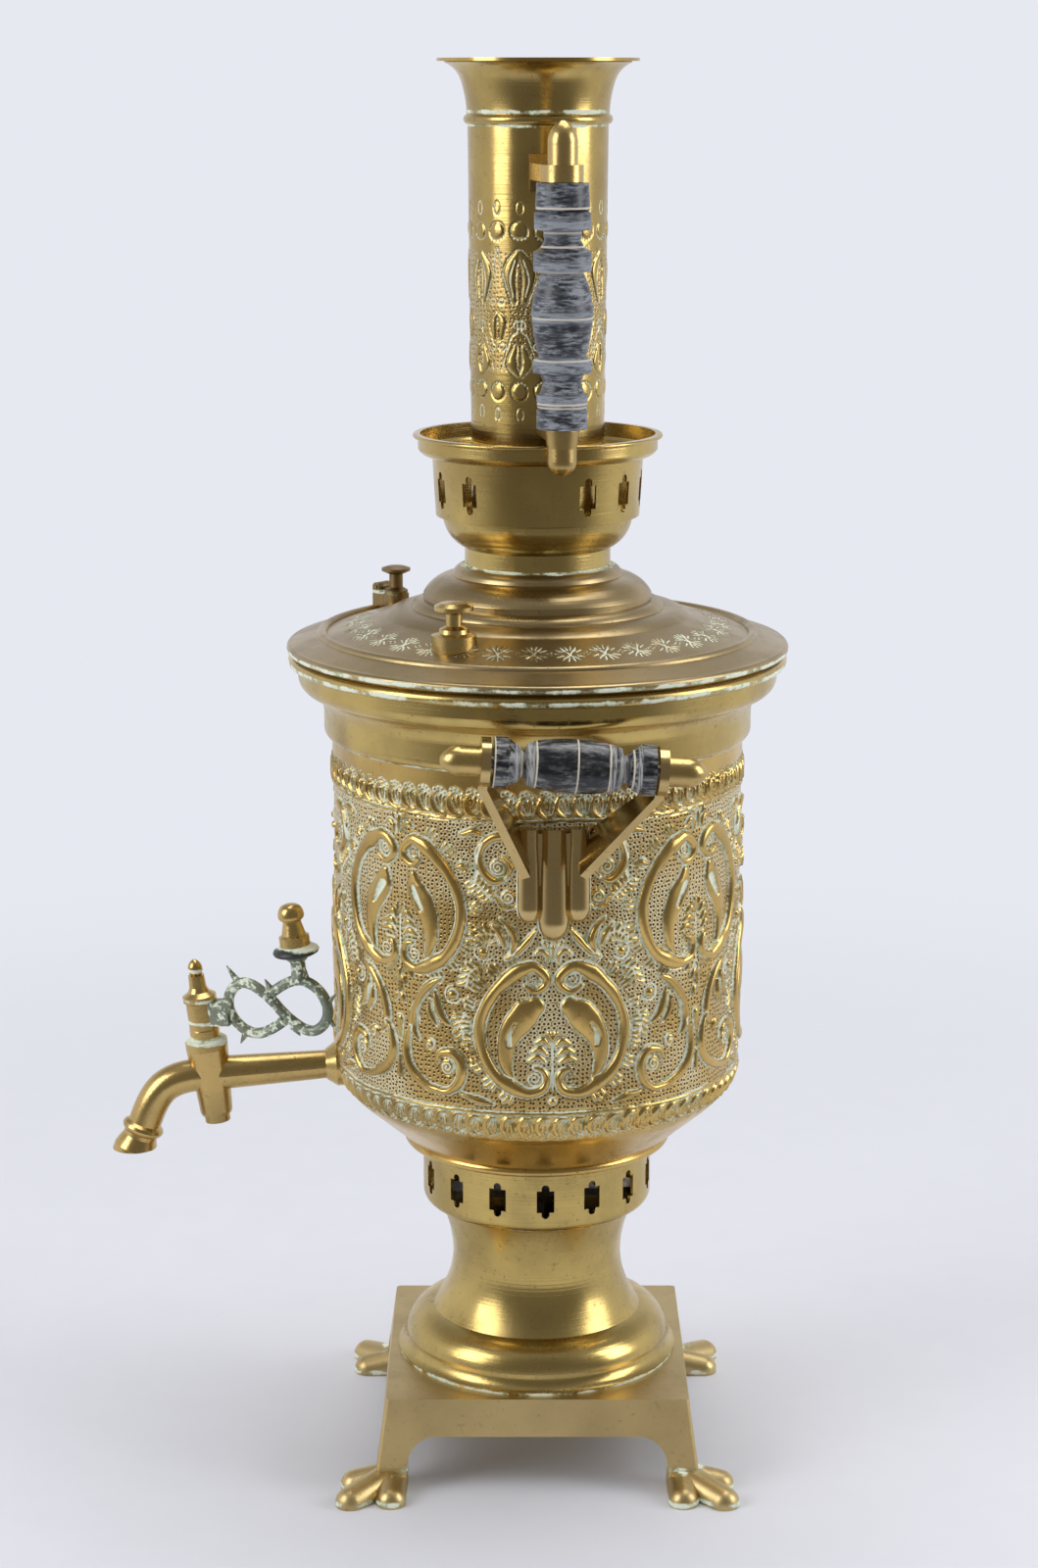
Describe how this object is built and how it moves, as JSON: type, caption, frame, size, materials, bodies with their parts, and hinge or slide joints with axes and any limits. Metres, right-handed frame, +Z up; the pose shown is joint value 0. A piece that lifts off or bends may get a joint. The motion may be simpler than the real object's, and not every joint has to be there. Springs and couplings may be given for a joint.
{
  "type": "samovar",
  "caption": "Charcoal samovar of embossed brass with plug tap, lift-off lid, pierced crown and handled chimney.",
  "frame": {"origin": "on the body's axis, at the level of the four paws' soles", "axes": "+Z up along the body and the chimney; the tap points along -X; side handles at -Y (front) and +Y"},
  "size_m": [0.3513, 0.3076, 0.7225],
  "materials": {
    "spun_brass": "satin",
    "embossed_brass": "satin",
    "chimney_brass": "polished",
    "cast_brass": "satin",
    "turned_brass": "satin",
    "patinated_casting": "matte",
    "fire_tube_brass": "matte",
    "grate_iron": "matte",
    "steel_fastener": "satin",
    "turned_wood": "satin",
    "black_fibre": "matte",
    "seal_rubber": "matte"
  },
  "bodies": {
    "base": {"air_band": "spun_brass", "base_bar": "steel_fastener", "base_bolt": "steel_fastener", "base_nut": "steel_fastener", "body_rim": "spun_brass", "body_shell": "embossed_brass", "bracket_rivets": "turned_brass", "fire_tube": "fire_tube_brass", "front_bracket": "turned_brass", "front_nuts": "turned_brass", "front_rod": "steel_fastener", "grate": "grate_iron", "paw_front_left": "cast_brass", "paw_front_right": "cast_brass", "paw_rear_left": "cast_brass", "paw_rear_right": "cast_brass", "pedestal": "spun_brass", "plinth": "cast_brass", "rear_bracket": "turned_brass", "rear_nuts": "turned_brass", "rear_rod": "steel_fastener", "tap_body": "turned_brass", "tap_flange": "turned_brass", "tap_lock_nut": "turned_brass", "tap_seal_washer": "seal_rubber"},
    "key": {"tap_plug": "turned_brass", "plug_nut": "turned_brass", "tap_lever": "patinated_casting", "lever_washer": "black_fibre", "lever_knob": "turned_brass"},
    "lid_body": {"lid": "spun_brass", "lid_knob": "turned_brass", "vent_seat": "patinated_casting", "vent_pin": "steel_fastener"},
    "vent": {"vent_cap": "patinated_casting"},
    "crown_body": {"crown": "spun_brass"},
    "chimney": {"chimney_tube": "chimney_brass", "chimney_mouth": "chimney_brass", "chimney_upper_bracket": "turned_brass", "chimney_lower_bracket": "turned_brass", "chimney_rod": "steel_fastener", "chimney_nuts": "turned_brass"},
    "chimney_grip_body": {"chimney_grip": "turned_wood"},
    "front_grip_body": {"front_grip": "turned_wood"},
    "rear_grip_body": {"rear_grip": "turned_wood"}
  },
  "joints": [
    {"name": "tap_turn", "type": "hinge", "parent": "base", "child": "key", "pos_m": [-0.1711, 0, 0.2043], "axis": [0.1219, 0, -0.9925], "range_deg": [0, 310]},
    {"name": "lid_lift", "type": "slide", "parent": "base", "child": "lid_body", "axis": [0, 0, 1], "range_m": [0, 0.04]},
    {"name": "vent_flip", "type": "hinge", "parent": "lid_body", "child": "vent", "pos_m": [-0.07722, 0.07722, 0.4488], "axis": [-0.7071, -0.7071, 0], "range_deg": [0, 110]},
    {"name": "crown_lift", "type": "slide", "parent": "lid_body", "child": "crown_body", "axis": [0, 0, 1], "range_m": [0, 0.03]},
    {"name": "chimney_lift", "type": "slide", "parent": "crown_body", "child": "chimney", "axis": [0, 0, 1], "range_m": [0, 0.07]},
    {"name": "chimney_grip_spin", "type": "hinge", "parent": "chimney", "child": "chimney_grip_body", "pos_m": [0.00628, -0.07173, 0.6], "axis": [0, 0, 1], "continuous": true},
    {"name": "front_grip_spin", "type": "hinge", "parent": "base", "child": "front_grip_body", "pos_m": [0.0065, -0.1408, 0.397], "axis": [0.9976, 0, -0.0698], "continuous": true},
    {"name": "rear_grip_spin", "type": "hinge", "parent": "base", "child": "rear_grip_body", "pos_m": [0, 0.1408, 0.397], "axis": [1, 0, 0], "continuous": true}
  ]
}
